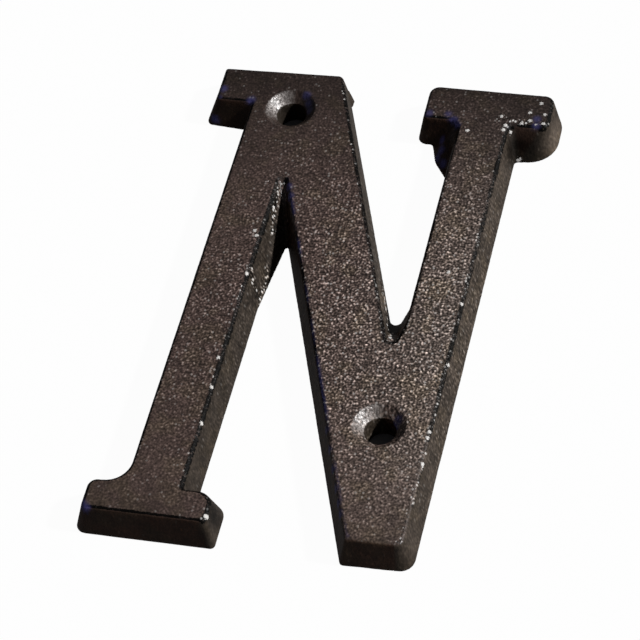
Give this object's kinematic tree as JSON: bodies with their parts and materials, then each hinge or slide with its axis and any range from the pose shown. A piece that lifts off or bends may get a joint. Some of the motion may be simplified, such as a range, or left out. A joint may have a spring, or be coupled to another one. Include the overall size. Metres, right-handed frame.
{
  "type": "house letter",
  "caption": "Cast-iron house letter N with serifs, a flat back, drafted side walls and countersunk screw holes through its face.",
  "frame": {"origin": "middle of the outline of the flat back, on the back's plane", "axes": "+Z out of the face, +Y towards the top of the letter, +X towards the reader's right"},
  "size_m": [0.0488, 0.0767, 0.0046],
  "materials": {
    "cast_iron": "rough sand-cast, dark brown, semi-gloss grain"
  },
  "bodies": {
    "root": {"cast_letter": "cast_iron"}
  },
  "joints": []
}
